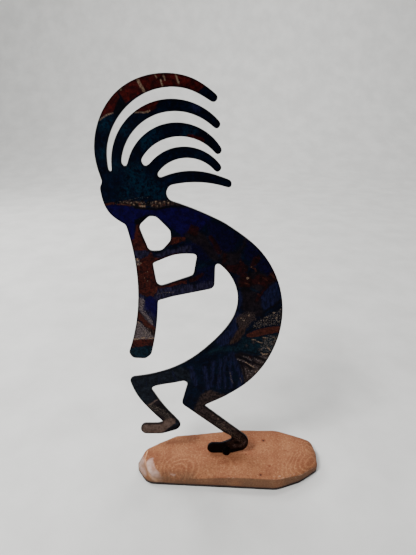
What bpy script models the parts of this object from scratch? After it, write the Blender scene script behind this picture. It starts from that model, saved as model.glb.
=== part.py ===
"""Flute player cut from steel plate, standing on one foot on a slab of sandstone.

Metres, +Z up. X runs along the slab, the figure's flat front looks to -Y, and the origin is the
middle of the slab's underside. The figure is one cut plate, held at the foot by a slotted pin.
"""
import math

import bpy
import bmesh
import numpy as np

# Driving sizes, in metres
FIGURE_HEIGHT = 0.305
PLATE_THICKNESS = 0.002
SLAB_LENGTH = 0.160
SLAB_DEPTH = 0.058
SLAB_HEIGHT = 0.0125
SHOULDER_RISE = 0.003
SHOULDER_REACH = 0.012
LEFT_END_LEAN = 0.004
RIGHT_END_DROP = 0.004
FRONT_LEFT_DROP = 0.0055
UNDERCUT = 0.0006
PIN_DIAMETER = 0.0065
PIN_ABOVE_SLAB = 0.0085
PIN_CHAMFER = 0.0007
STONE_UNDER_PIN = 0.004
FIT_GAP = 0.0003
PIN_X = -0.0017

# The shoulder is a quarter of an ellipse, from 0 degrees at the upright side to 90 on the flat
# top. At the slab's front and left end it starts further up, which leaves a crisp edge there.
FRONT_EDGE_START = math.radians(60)
LEFT_EDGE_START = math.radians(45)
SHOULDER_STEPS = [0, 0.28, 0.5, 0.67, 0.8, 0.91, 1]

# How finely a curve is cut into straight lengths
CURVE_ERROR_MM = 0.02
ROUNDING_STEP = math.radians(20)
LONGEST_SLAB_SIDE_MM = 9.0
PIN_SIDES = 40

# What a rounded corner may take of an edge, and the sharpest turn that its radius is kept for
MOST_OF_AN_EDGE = 0.49
SHARPEST_TURN = math.radians(165)

# The figure's outline is drawn in millimetres at its full height of 305, from the pin's axis
# (x = 0) and the sole (z = 0), clockwise as seen from the front. Three numbers are a corner and
# the radius that rounds it, and two are a point that the edge between two corners passes through.
DRAWN_HEIGHT_MM = 305.0

CREST = [
    (-86.6, 239.8, 0.8), (-89.7, 255.0), (-85.5, 277.4), (-70.7, 296.1), (-44.6, 304.9),
    (-24.0, 301.4),
    # first feather, outermost
    (-9.0, 291.4, 2.2),
    (-12.6, 288.0, 2.2), (-28.0, 295.8), (-50.0, 295.6), (-71.5, 281.6), (-82.1, 257.0),
    (-81.9, 247.4, 1.2), (-80.7, 246.3),
    (-79.5, 247.8, 1.2), (-54.3, 287.6),
    # second feather
    (-7.4, 275.6, 2.2),
    (-11.0, 272.4, 2.2), (-45.0, 282.6),
    (-73.1, 252.3, 1.5),
    (-71.0, 248.6, 1.2),
    (-68.9, 251.8, 1.2), (-45.0, 275.7),
    # third feather
    (-6.6, 259.6, 2.0),
    (-10.2, 256.6, 2.0), (-44.0, 266.9),
    (-60.2, 253.6, 1.5),
    (-58.2, 249.3, 1.5),
    (-54.9, 251.2, 1.5), (-42.3, 260.3),
    # fourth feather
    (-6.6, 248.6, 2.0),
    (-10.4, 245.4, 2.0), (-42.2, 252.0),
    (-49.9, 245.0, 1.5),
    (-49.0, 242.0, 1.5), (-42.0, 244.6), (-20.0, 246.4),
    # fifth feather, the longest
    (0.1, 240.2, 2.6),
    (-1.0, 235.4, 2.6), (-20.0, 239.4),
    (-42.3, 237.4, 3.0),
    (-44.9, 232.1, 4.0),
    (-42.6, 227.4, 3.0), (-24.0, 220.6),
]

HUMP = [
    (-4.6, 211.4, 30.0), (20.6, 191.6), (36.0, 165.2), (40.3, 137.0), (35.2, 108.9),
    (15.2, 76.4),
    (-3.7, 61.9, 10.0),
]

STANDING_LEG = [
    (-20.0, 53.0, 1.5),
    (14.2, 21.7, 3.0), (19.2, 13.0),
    (14.4, 2.9, 2.0),
    (4.6, 0.0, 3.0),
    (-13.0, 0.0, 3.0), (-17.0, 5.5),
    (-13.0, 11.0, 3.0),
    (-4.6, 10.9, 3.0),
    (4.5, 15.3, 1.5),
    (4.2, 19.4, 1.2),
    (-3.4, 24.3, 8.0),
    (-38.5, 55.0, 4.0),
]

RAISED_LEG = [
    (-32.0, 79.6, 3.0),
    (-43.8, 76.6, 10.0), (-52.0, 75.1),
    (-64.4, 72.2, 4.0),
    (-60.6, 65.4, 8.0), (-53.8, 53.0),
    (-44.9, 40.5, 4.0),
    (-38.6, 32.0, 5.0),
    (-43.4, 26.8, 4.0),
    (-56.5, 22.3, 6.0),
    (-71.0, 22.3, 3.0), (-74.5, 27.8),
    (-71.0, 33.3, 3.0),
    (-58.6, 33.3, 2.0),
    (-54.4, 35.4, 1.0), (-68.8, 53.5), (-76.0, 66.0),
    (-80.2, 79.5, 1.5),
]

BELLY_AND_ARM = [
    (-77.7, 82.1, 2.5), (-66.4, 83.8), (-53.2, 87.4), (-43.4, 91.4), (-28.0, 101.0),
    (-14.0, 113.8), (-3.6, 126.2), (3.8, 139.6), (6.0, 152.0), (3.0, 166.6), (-4.4, 177.8),
    (-11.0, 183.6, 2.0),
    (-11.5, 162.0, 4.0),
    (-42.6, 155.2, 8.0),
]

FLUTE_AND_FACE = [
    (-53.9, 151.8, 1.6), (-55.0, 137.6),
    (-61.2, 104.4, 2.5),
    (-65.8, 100.2, 3.0),
    (-76.2, 100.8, 2.5),
    (-78.9, 105.9, 2.0), (-67.9, 170.0),
    (-73.2, 210.4, 1.5), (-84.0, 219.0), (-88.0, 230.1),
    (-88.6, 236.2, 2.0),
]

GAP_UNDER_CHIN = [
    (-64.3, 208.5, 2.5),
    (-62.6, 211.3, 2.5),
    (-56.7, 216.7, 3.0),
    (-51.9, 216.2, 3.0),
    (-42.2, 205.9, 5.0),
    (-42.6, 198.6, 4.0),
    (-49.3, 191.2, 4.0),
    (-58.2, 190.9, 3.0),
]

GAP_BETWEEN_ARMS = [
    (-56.2, 181.8, 1.0), (-48.9, 185.0), (-41.0, 188.0),
    (-24.0, 188.8, 2.0),
    (-27.0, 172.2, 2.5),
    (-42.2, 166.7, 8.0),
    (-53.7, 162.6, 3.5),
]

# The slab's plan, clockwise from its front left as seen from above, in millimetres at 160 by 58
SLAB_PLAN = [
    (-70.5, -22.8, 12.0),
    (-81.8, -6.4, 9.0),
    (-77.2, 3.8, 8.0),
    (-48.5, 22.2, 8.0),
    (12.0, 29.6, 30.0),
    (48.0, 29.4, 20.0),
    (79.6, 17.8, 6.0),
    (81.2, 4.0, 12.0),
    (79.3, -9.8, 6.0),
    (61.5, -21.8, 14.0),
    (40.5, -29.2, 16.0),
]


def arc_through(start, via, end):
    """Points of the circular arc from start to end that passes through via.

    In the complex plane the centre follows from the ratio of the two chords at the start, and
    the arc's angle is twice what the angle seen at via leaves of a half turn.
    """
    first, middle, last = (complex(*point) for point in (start, via, end))
    ratio = (last - first) / (middle - first)
    centre = first + (middle - first) * (ratio - abs(ratio) ** 2) / (2j * ratio.imag)
    radius = abs(first - centre)
    sweep = 2 * math.pi - 2 * abs(np.angle((first - middle) / (last - middle)))
    step = 2 * math.acos(1 - CURVE_ERROR_MM / radius)
    count = max(2, math.ceil(sweep / step))
    angles = np.angle(first - centre) + np.sign(ratio.imag) * np.linspace(0, sweep, count + 1)
    points = centre + radius * np.exp(1j * angles)
    return np.column_stack([points.real, points.imag])


def spline_through(points):
    """Points of the natural cubic spline through all the points given, by chord length."""
    knots = np.array(points)
    gaps = np.hypot(*np.diff(knots, axis=0).T)
    count = len(knots)
    matrix = np.eye(count)
    bends = np.zeros((count, 2))
    slopes = np.diff(knots, axis=0) / gaps[:, None]
    for i in range(1, count - 1):
        matrix[i, i - 1:i + 2] = gaps[i - 1], 2 * (gaps[i - 1] + gaps[i]), gaps[i]
        bends[i] = 6 * (slopes[i] - slopes[i - 1])
    curvature = np.linalg.solve(matrix, bends)
    pieces = []
    for i, gap in enumerate(gaps):
        bend = max(np.hypot(*curvature[i]), np.hypot(*curvature[i + 1]), 1e-6)
        steps = max(2, math.ceil(gap / math.sqrt(8 * CURVE_ERROR_MM / bend)))
        after = np.linspace(0, gap, steps, endpoint=False)[:, None]
        before = gap - after
        cubic = (curvature[i] * before ** 3 + curvature[i + 1] * after ** 3) / (6 * gap)
        from_start = (knots[i] / gap - curvature[i] * gap / 6) * before
        from_end = (knots[i + 1] / gap - curvature[i + 1] * gap / 6) * after
        pieces.append(cubic + from_start + from_end)
    return np.vstack(pieces + [knots[-1:]])


def edge_through(points):
    """A straight edge for two points, an arc for three and a smooth curve for more."""
    if len(points) == 2:
        return np.array(points)
    if len(points) == 3:
        return arc_through(*points)
    return spline_through(points)


def without_start(line, length):
    """The line without its first stretch of the length given, or of half of it at most."""
    steps = np.hypot(*np.diff(line, axis=0).T)
    reached = np.concatenate([[0], np.cumsum(steps)])
    length = min(length, reached[-1] * MOST_OF_AN_EDGE)
    i = min(np.searchsorted(reached, length, side="right") - 1, len(steps) - 1)
    start = line[i] + (line[i + 1] - line[i]) * (length - reached[i]) / steps[i]
    return np.vstack([start, line[i + 1:]])


def rounded_corner(start, corner, end):
    """Inner points of the conic that leaves start and reaches end along the corner's two sides."""
    inward = corner - start
    outward = end - corner
    turn = math.acos(np.clip(inward @ outward / np.hypot(*inward) / np.hypot(*outward), -1, 1))
    weight = math.cos(turn / 2)
    steps = max(2, math.ceil(turn / ROUNDING_STEP))
    t = np.linspace(0, 1, steps + 1)[1:-1, None]
    total = (1 - t) ** 2 + 2 * weight * t * (1 - t) + t ** 2
    return ((1 - t) ** 2 * start + 2 * weight * t * (1 - t) * corner + t ** 2 * end) / total


def closed_outline(items):
    """The closed line through corners, which are rounded, and the points between them."""
    corners = [i for i, item in enumerate(items) if len(item) == 3]
    following = corners[1:] + [corners[0] + len(items)]
    edges = [
        edge_through([items[k % len(items)][:2] for k in range(i, j + 1)])
        for i, j in zip(corners, following)
    ]
    for k, i in enumerate(corners):
        arriving, leaving = edges[k - 1], edges[k]
        before = arriving[-1] - arriving[-2]
        after = leaving[1] - leaving[0]
        cross = before[0] * after[1] - before[1] * after[0]
        turn = min(abs(math.atan2(cross, before @ after)), SHARPEST_TURN)
        cut_back = items[i][2] * math.tan(turn / 2)
        if cut_back > 0:
            edges[k - 1] = without_start(arriving[::-1], cut_back)[::-1]
            edges[k] = without_start(leaving, cut_back)
    line = []
    for k, i in enumerate(corners):
        if items[i][2] > 0:
            corner = np.array(items[i][:2])
            line.extend(rounded_corner(edges[k - 1][-1], corner, edges[k][0]))
        line.extend(edges[k])
    line = np.array(line)
    apart = np.hypot(*(line - np.roll(line, 1, axis=0)).T) > CURVE_ERROR_MM
    return line[apart]


def divided(line, longest):
    """The closed line with points added, so that no side of it is longer than the length given."""
    following = np.roll(line, -1, axis=0)
    points = []
    for start, end in zip(line, following):
        count = math.ceil(np.hypot(*(end - start)) / longest)
        points.extend(start + (end - start) * k / count for k in range(count))
    return np.array(points)


def material(name, colour, roughness, metallic):
    """A plain Principled material of the colour given."""
    finish = bpy.data.materials.new(name)
    finish.use_nodes = True
    shader = finish.node_tree.nodes["Principled BSDF"]
    shader.inputs["Base Color"].default_value = (*colour, 1.0)
    shader.inputs["Roughness"].default_value = roughness
    shader.inputs["Metallic"].default_value = metallic
    return finish


def add_mesh(name, build, finish=None):
    """An object whose mesh the function build fills, through bmesh."""
    shape = bmesh.new()
    build(shape)
    bmesh.ops.recalc_face_normals(shape, faces=shape.faces)
    mesh = bpy.data.meshes.new(name)
    shape.to_mesh(mesh)
    shape.free()
    piece = bpy.data.objects.new(name, mesh)
    bpy.context.collection.objects.link(piece)
    if finish:
        mesh.materials.append(finish)
    return piece


def add_stack(shape, rings):
    """Closed solid through rings of as many points each, from the lowest to the highest."""
    levels = [[shape.verts.new(point) for point in ring] for ring in rings]
    for lower, upper in zip(levels, levels[1:]):
        for k in range(len(lower)):
            shape.faces.new([lower[k - 1], lower[k], upper[k], upper[k - 1]])
    shape.faces.new(levels[0][::-1])
    shape.faces.new(levels[-1])


def circle(radius, height, x=0.0):
    """Ring of points about an upright axis."""
    angles = np.arange(PIN_SIDES) * 2 * math.pi / PIN_SIDES
    return [(x + radius * math.cos(a), radius * math.sin(a), height) for a in angles]


def cut_away(piece, cutter):
    """Takes the cutter's solid out of the piece with a Boolean, and hides the cutter."""
    cutter.hide_render = True
    cutter.display_type = "WIRE"
    cut = piece.modifiers.new("Cut " + cutter.name, "BOOLEAN")
    cut.operation = "DIFFERENCE"
    cut.object = cutter


def flute_player(finish):
    """The figure: one plate with its outline and two gaps cut through, standing upright."""
    scale = FIGURE_HEIGHT / DRAWN_HEIGHT_MM
    body = CREST + HUMP + STANDING_LEG + RAISED_LEG + BELLY_AND_ARM + FLUTE_AND_FACE
    curve = bpy.data.curves.new("flute_player", "CURVE")
    curve.dimensions = "2D"
    curve.fill_mode = "BOTH"
    curve.extrude = PLATE_THICKNESS / 2
    for items in (body, GAP_UNDER_CHIN, GAP_BETWEEN_ARMS):
        line = closed_outline(items) * scale
        spline = curve.splines.new("POLY")
        spline.points.add(len(line) - 1)
        spline.use_cyclic_u = True
        for point, (x, z) in zip(spline.points, line):
            point.co = (x, z, 0, 1)
    curve.materials.append(finish)
    piece = bpy.data.objects.new("flute_player", curve)
    bpy.context.collection.objects.link(piece)
    piece.rotation_euler = (math.pi / 2, 0, 0)
    piece.location = (PIN_X, 0, SLAB_HEIGHT + FIT_GAP)
    return piece


def sandstone_slab(finish):
    """The stone: an uneven slab of many sides, upright, with a rounded shoulder and a flat top."""
    plan = divided(closed_outline(SLAB_PLAN), LONGEST_SLAB_SIDE_MM)
    low, high = plan.min(axis=0), plan.max(axis=0)
    plan = (plan - (low + high) / 2) / (high - low)
    x, y = plan.T

    # How much of each end's form is found at a point of the plan, which runs from -0.5 to 0.5
    leaning = np.clip(-3.6 * x - 1.7 * y - 0.9, 0, 1)
    right_end = np.clip(4 * x - 1, 0, 1) ** 2
    front_left = np.exp(-((x + 0.36) / 0.14) ** 2 - ((y + 0.42) / 0.25) ** 2)
    front_edge = np.exp(-((x - 0.13) / 0.2) ** 4 - ((y + 0.5) / 0.2) ** 4)
    left_edge = np.exp(-((x + 0.5) / 0.12) ** 4 - ((y - 0.05) / 0.4) ** 4)

    drop = SHOULDER_RISE + RIGHT_END_DROP * right_end + FRONT_LEFT_DROP * front_left
    start = FRONT_EDGE_START * front_edge + LEFT_EDGE_START * left_edge
    side = SLAB_HEIGHT - drop * (1 - np.sin(start))

    def ring(inset, heights, lean):
        """The plan drawn in by the inset, and at its left end by a share of the lean."""
        inset = np.broadcast_to(inset, len(plan))[:, None]
        points = plan * (np.array([SLAB_LENGTH, SLAB_DEPTH]) - 2 * inset)
        points[:, 0] += LEFT_END_LEAN * leaning * lean
        return np.column_stack([points, np.broadcast_to(heights, len(points))])

    # The upright side leans in at the left end
    rings = [ring(UNDERCUT, 0, 0), ring(0, UNDERCUT, 0), ring(0, side / 3, 0)]
    for share in SHOULDER_STEPS:
        angle = start + (math.pi / 2 - start) * share
        inset = SHOULDER_REACH * (np.cos(start) - np.cos(angle))
        rings.append(ring(inset, SLAB_HEIGHT - drop * (1 - np.sin(angle)), 1))
    slab = add_mesh("sandstone_slab", lambda shape: add_stack(shape, rings), finish)

    # The pin's hole
    radius = PIN_DIAMETER / 2 + FIT_GAP
    above = SLAB_HEIGHT + PIN_DIAMETER
    hole = [circle(radius, STONE_UNDER_PIN, PIN_X), circle(radius, above, PIN_X)]
    cut_away(slab, add_mesh("pin hole cutter", lambda shape: add_stack(shape, hole)))
    return slab


def mounting_pin(finish):
    """The pin: a short round rod with a slot across its top that holds the figure's foot."""
    radius = PIN_DIAMETER / 2
    bottom = STONE_UNDER_PIN + FIT_GAP
    top = SLAB_HEIGHT + PIN_ABOVE_SLAB
    rings = [
        circle(radius - PIN_CHAMFER, bottom, PIN_X),
        circle(radius, bottom + PIN_CHAMFER, PIN_X),
        circle(radius, top - PIN_CHAMFER, PIN_X),
        circle(radius - PIN_CHAMFER, top, PIN_X),
    ]
    pin = add_mesh("mounting_pin", lambda shape: add_stack(shape, rings), finish)

    # The slot reaches from just under the figure's sole to above the pin
    half_slot = PLATE_THICKNESS / 2 + FIT_GAP
    slot = [
        [(PIN_X - PIN_DIAMETER, -half_slot, z), (PIN_X + PIN_DIAMETER, -half_slot, z),
         (PIN_X + PIN_DIAMETER, half_slot, z), (PIN_X - PIN_DIAMETER, half_slot, z)]
        for z in (SLAB_HEIGHT, top + PIN_DIAMETER)
    ]
    cut_away(pin, add_mesh("pin slot cutter", lambda shape: add_stack(shape, slot)))
    return pin


for item in list(bpy.data.objects):
    bpy.data.objects.remove(item, do_unlink=True)

patina_steel = material("Steel plate with a heat and dye patina", (0.035, 0.03, 0.04), 0.35, 0.6)
bare_steel = material("Darkened steel rod", (0.03, 0.025, 0.025), 0.45, 0.7)
sandstone = material("Salmon sandstone", (0.46, 0.25, 0.15), 0.85, 0.0)

flute_player(patina_steel)
mounting_pin(bare_steel)
sandstone_slab(sandstone)
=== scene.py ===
import math

import bpy
import numpy as np
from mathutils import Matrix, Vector
from mathutils.geometry import delaunay_2d_cdt
from mathutils.kdtree import KDTree


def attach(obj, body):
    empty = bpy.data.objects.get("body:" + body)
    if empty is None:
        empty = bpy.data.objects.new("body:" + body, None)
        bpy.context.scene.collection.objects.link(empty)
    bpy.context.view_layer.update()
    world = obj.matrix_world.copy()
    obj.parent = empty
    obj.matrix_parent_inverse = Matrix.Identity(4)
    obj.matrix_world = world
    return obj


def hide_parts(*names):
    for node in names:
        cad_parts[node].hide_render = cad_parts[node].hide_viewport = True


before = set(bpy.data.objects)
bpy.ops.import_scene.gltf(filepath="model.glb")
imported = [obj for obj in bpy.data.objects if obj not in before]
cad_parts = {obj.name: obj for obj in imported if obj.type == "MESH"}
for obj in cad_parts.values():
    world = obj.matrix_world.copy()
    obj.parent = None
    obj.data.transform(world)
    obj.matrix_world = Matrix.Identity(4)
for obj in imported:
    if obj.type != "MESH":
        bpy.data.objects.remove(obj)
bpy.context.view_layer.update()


# The stone slab: an uneven many-sided piece of banded salmon sandstone about 160 mm long. It was
# sawn flat underneath, split to its outline and rubbed down by hand until its upper edge was round.

MM = 0.001
SLAB_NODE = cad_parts["sandstone_slab"]
SLAB_LENGTH, SLAB_DEPTH, SLAB_HEIGHT = 160.0, 58.0, 12.5
SHOULDER_RISE, SHOULDER_REACH = 3.0, 12.0
LEFT_END_LEAN, RIGHT_END_DROP, FRONT_LEFT_DROP = 4.0, 4.0, 5.5
FRONT_EDGE_START, LEFT_EDGE_START = math.radians(60), math.radians(45)
UNDERCUT = 0.6
PIN_X, HOLE_RADIUS, HOLE_FLOOR = -1.7, 3.55, 4.3
AROUND = 480
SAWN_RINGS, SIDE_RINGS, SHOULDER_RINGS, TOP_RINGS = 14, 18, 36, 92


def mesh_points(mesh):
    """The mesh's points in millimetres, one row each."""
    points = np.empty(len(mesh.vertices) * 3)
    mesh.vertices.foreach_get("co", points)
    return points.reshape(-1, 3) / MM


def outline_in_all_directions(corners, angles):
    """The point of a star-shaped outline in each direction. The side that a direction meets runs
    from a to b, and the direction's length to it is (a x b) / (direction x (b - a))."""
    corners = corners[np.argsort(np.arctan2(corners[:, 1], corners[:, 0]))]
    starts = np.arctan2(corners[:, 1], corners[:, 0])
    first = (np.searchsorted(starts, angles, side="right") - 1) % len(corners)
    a, b = corners[first], corners[(first + 1) % len(corners)]
    ways = np.column_stack([np.cos(angles), np.sin(angles)])
    side = b - a
    reach = a[:, 0] * b[:, 1] - a[:, 1] * b[:, 0]
    reach /= ways[:, 0] * side[:, 1] - ways[:, 1] * side[:, 0]
    return ways * reach[:, None]


def held(values):
    """The values held between 0 and 1."""
    return np.clip(values, 0, 1)


# The outline is the one of the CAD slab, read just above its undercut
slab_corners = mesh_points(SLAB_NODE.data)
slab_corners = slab_corners[abs(slab_corners[:, 2] - UNDERCUT) < 0.01][:, :2]
slab_corners = np.unique(slab_corners.round(3), axis=0)
turn = np.linspace(-np.pi, np.pi, AROUND, endpoint=False)
plan_share = outline_in_all_directions(slab_corners, turn) / [SLAB_LENGTH, SLAB_DEPTH]

# Where it leans and drops, and where its upper edge is crisp, by shares of its length and depth
x, y = plan_share.T
leaning = held(-3.6 * x - 1.7 * y - 0.9)
right_end = held(4 * x - 1) ** 2
front_left = np.exp(-((x + 0.36) / 0.14) ** 2 - ((y + 0.42) / 0.25) ** 2)
front_edge = np.exp(-((x - 0.13) / 0.2) ** 4 - ((y + 0.5) / 0.2) ** 4)
left_edge = np.exp(-((x + 0.5) / 0.12) ** 4 - ((y - 0.05) / 0.4) ** 4)
drop = SHOULDER_RISE + RIGHT_END_DROP * right_end + FRONT_LEFT_DROP * front_left
shoulder_start = FRONT_EDGE_START * front_edge + LEFT_EDGE_START * left_edge
side_height = SLAB_HEIGHT - drop * (1 - np.sin(shoulder_start))


def slab_ring(inset, height, lean):
    """The plan drawn in by the inset and shifted at its left end by a share of the lean."""
    inset = np.broadcast_to(inset, AROUND)[:, None]
    ring = plan_share * (np.array([SLAB_LENGTH, SLAB_DEPTH]) - 2 * inset)
    ring[:, 0] += LEFT_END_LEAN * leaning * lean
    return np.column_stack([ring, np.broadcast_to(height, AROUND)])


def shoulder_ring(part):
    """A ring of the shoulder, which is a quarter of an ellipse or its upper part, from the side
    at 0 to the flat top at 1."""
    angle = shoulder_start + (math.pi / 2 - shoulder_start) * part
    inset = SHOULDER_REACH * (np.cos(shoulder_start) - np.cos(angle))
    return slab_ring(inset, SLAB_HEIGHT - drop * (1 - np.sin(angle)), 1)


def stacked_rings(name, rows):
    """A closed shell through rows of rings, all with as many points, from one pole to the other.
    Neighbouring rings are joined by squares, and a fan closes each end on its ring's middle."""
    count, around = rows.shape[:2]
    points = np.vstack([rows.reshape(-1, 3), rows[0].mean(axis=0), rows[-1].mean(axis=0)])
    k = np.arange(around)
    following = (k + 1) % around
    ring = np.arange(count - 1)[:, None] * around
    squares = [ring + k, ring + following, ring + around + following, ring + around + k]
    squares = np.stack(squares, axis=-1).reshape(-1, 4)
    low, high = count * around, count * around + 1
    last = (count - 1) * around
    fans = np.vstack([
        np.column_stack([following, k, np.full(around, low)]),
        np.column_stack([last + k, last + following, np.full(around, high)]),
    ])
    mesh = bpy.data.meshes.new(name)
    mesh.from_pydata((points * MM).tolist(), [], squares.tolist() + fans.tolist())
    mesh.shade_smooth()
    return mesh


sawn_face = [slab_ring(UNDERCUT, 0, 0) * [f, f, 1] for f in np.linspace(0.01, 0.99, SAWN_RINGS)]
lower_arris = [
    slab_ring(UNDERCUT * (1 - math.sin(a)), UNDERCUT * (1 - math.cos(a)), 0)
    for a in np.radians([0, 30, 60, 90])
]
split_side = [
    slab_ring(0, UNDERCUT + (side_height - UNDERCUT) * f, max(0, 1.5 * f - 0.5))
    for f in np.linspace(0.07, 1, SIDE_RINGS)
]
shoulder = [shoulder_ring(f) for f in np.linspace(0.03, 1, SHOULDER_RINGS)]
hole_rim = np.column_stack([
    PIN_X + HOLE_RADIUS * np.cos(turn), HOLE_RADIUS * np.sin(turn), np.full(AROUND, SLAB_HEIGHT),
])
flat_top = [shoulder[-1] * (1 - f) + hole_rim * f for f in np.linspace(0.012, 1, TOP_RINGS)]
hole_wall = [hole_rim * [1, 1, 0] + [0, 0, height] for height in (12.1, 10.5, 8.0, HOLE_FLOOR)]
rows = np.array(sawn_face + lower_arris + split_side + shoulder + flat_top + hole_wall)
slab_mesh = stacked_rings("sandstone_slab_piece", rows)

LATTICE = np.random.default_rng(7).uniform(-1, 1, (64, 64, 64))


def swells(points, size, seed):
    """Smooth noise from -1 to 1 with one swell to each size in mm. Random values stand on a cubic
    lattice, and between its corners they are blended with the weight 3t^2 - 2t^3 along each axis."""
    places = points / size + seed * 11.37
    cell = np.floor(places).astype(int)
    t = places - cell
    weight = t * t * (3 - 2 * t)
    total = np.zeros(len(points))
    for corner in range(8):
        step = np.array([corner & 1, corner >> 1 & 1, corner >> 2 & 1])
        share = np.where(step == 1, weight, 1 - weight).prod(axis=1)
        total += share * LATTICE[tuple(((cell + step) % 64).T)]
    return total


def strayed(points, reach, size, seed):
    """A sideways shift for each point, up to the reach in mm: one set of swells for each way."""
    return reach * np.column_stack([swells(points, size, seed), swells(points, size, seed + 1)])


def keep_on_points(mesh, name, values):
    """Stores one number for each point of the mesh, for a material to read by its name."""
    mesh.attributes.new(name, "FLOAT", "POINT").data.foreach_set("value", values)


# Relief: the slow unevenness of a hand-rubbed face, the chips along its edge, and the grain.
# It fades out on the sawn underside and at the pin's hole, where the stone was bored.
at = mesh_points(slab_mesh)
from_hole = np.hypot(at[:, 0] - PIN_X, at[:, 1]) - HOLE_RADIUS
rubbed = held(at[:, 2] / 1.5) * held(from_hole / 3)
ring_of = np.minimum(np.arange(len(at)) // AROUND, len(rows) - 1)
edge_row = len(sawn_face + lower_arris + split_side) - 0.5
at_edge = np.exp(-((ring_of - edge_row) / 2.2) ** 2)
relief = 0.26 * swells(at, 19, 1) + 0.10 * swells(at, 6, 2) + 0.05 * swells(at, 2.2, 3)
relief -= at_edge * np.clip(0.15 + 0.35 * swells(at, 7, 4) + 0.2 * swells(at, 2.5, 5), 0, 0.5)

# Small pits where soft grains fell out: x and y in mm, radius and depth
STONE_PITS = [
    (33.3, 13.9, 1.5, 0.7), (26.4, -24.4, 1.2, 0.6), (35.0, -15.3, 1.0, 0.35), (42.1, 8.0, 0.6, 0.3),
    (15.8, -2.2, 0.8, 0.3), (21.9, -12.0, 0.6, 0.25), (-36.0, -9.0, 0.6, 0.25), (-27.0, 17.0, 0.8, 0.35),
    (9.0, 19.0, 0.7, 0.3), (52.0, 1.6, 0.7, 0.3), (-52.0, 4.0, 0.6, 0.25), (48.0, -13.0, 0.6, 0.3),
]
pit_near = np.zeros(len(at))
for x, y, radius, depth in STONE_PITS:
    gap = np.hypot(at[:, 0] - x, at[:, 1] - y) + np.where(at[:, 2] > 8, 0, 99)
    relief -= depth * np.exp(-(gap / radius) ** 2)
    pit_near = np.maximum(pit_near, np.exp(-(gap / radius / 1.1) ** 2) * min(1, depth / 0.5))
keep_on_points(slab_mesh, "pit", pit_near)

# The bedding is a slow field whose level lines are the bands. They close into rings round its
# cone-shaped hills, given by x, y, reach, spacing of the rings, stretch to the back right, and
# how clear the rings are.
BAND = 2 * math.pi / 8
HILLS = [
    (69, -12.5, 20, 3.1, 2.5, 0.8), (-43, -20.5, 23, 3.9, 1.0, 0.75), (-6, -17, 16, 4.4, 1.3, 0.4),
    (71, 6, 8, 3.0, 1.5, 0.6),
]
bedding = 0.030 * at[:, 0] + 0.055 * at[:, 1] + 0.09 * at[:, 2]
on_side = held((edge_row + 1.5 - ring_of) / 2)
clear_bands = np.full(len(at), 0.12)
bent = at[:, :2] + strayed(at, 1.6, 9, 16)
for x, y, reach, spacing, stretch, clearness in HILLS:
    off_x, off_y = bent[:, 0] - x, bent[:, 1] - y
    away = np.hypot((0.75 * off_x + 0.66 * off_y) / stretch, 0.75 * off_y - 0.66 * off_x)
    away += 0.35 * (at[:, 2] - SLAB_HEIGHT)
    inside = held(1 - away / reach)
    bedding += inside * reach * BAND / spacing
    clear_bands += clearness * held(2.5 * inside) * (1 - on_side)
bedding += 1.0 * swells(at, 34, 6) + 0.3 * swells(at, 12, 7)
keep_on_points(slab_mesh, "bedding", bedding)
keep_on_points(slab_mesh, "clear bands", held(clear_bands) * (0.7 + 0.3 * swells(at, 7, 12)))


def within(at, loops):
    """Whether each point lies inside closed loops: a line to its right meets their sides an odd
    number of times."""
    meets = np.zeros(len(at), int)
    order = np.argsort(at[:, 1])
    heights = at[order, 1]
    for line in loops:
        for a, b in zip(line, np.roll(line, -1, axis=0)):
            low, high = np.searchsorted(heights, sorted((a[1], b[1])))
            level = order[low:high]
            crossing = a[0] + (at[level, 1] - a[1]) * (b[0] - a[0]) / (b[1] - a[1] or 1)
            meets[level] += at[level, 0] < crossing
    return meets % 2 == 1


def depth_in_stroke(at, line, half_width):
    """How deep each point lies in a stroke along a line: its half width less the distance."""
    line = np.array(line, float)
    a, along = line[:-1], np.diff(line, axis=0)
    off = at[:, None] - a
    t = held((off * along).sum(axis=2) / (along ** 2).sum(axis=1))
    return half_width - np.hypot(*(off - t[:, :, None] * along).transpose(2, 0, 1)).min(axis=1)


def depth_in_outline(at, corners):
    """How deep each point lies in a closed outline: the distance to its nearest side, which
    counts below zero outside."""
    gap = -depth_in_stroke(at, corners + corners[:1], 0)
    return np.where(within(at, [np.array(corners, float)]), gap, -gap)


# A pale band along the crisp edges is partly painted highlight where the crease catches the light
# and partly pale dust where the rubbing stone bit hardest; pale crumbs lie on the top beside the
# front edge
CRUMBS = [(38, -25.4), (44.7, -25.2), (48, -23.6), (55, -22.6), (60, -21.6)]
dust_and_edge_highlight = np.exp(-((ring_of - edge_row - 1) / 1.6) ** 2) * held(2.2 * swells(at, 6, 13))
dust_and_edge_highlight *= held((at[:, 0] + 12) / 8) * held(3 * swells(at, 0.9, 14) + 0.2)
crumbs = held(depth_in_stroke(at[:, :2], CRUMBS, 1.6) / 0.8)
crumbs *= held(3 * swells(at, 1.1, 19) - 0.9)
keep_on_points(slab_mesh, "dust_and_edge_highlight", np.maximum(dust_and_edge_highlight, crumbs))
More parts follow.
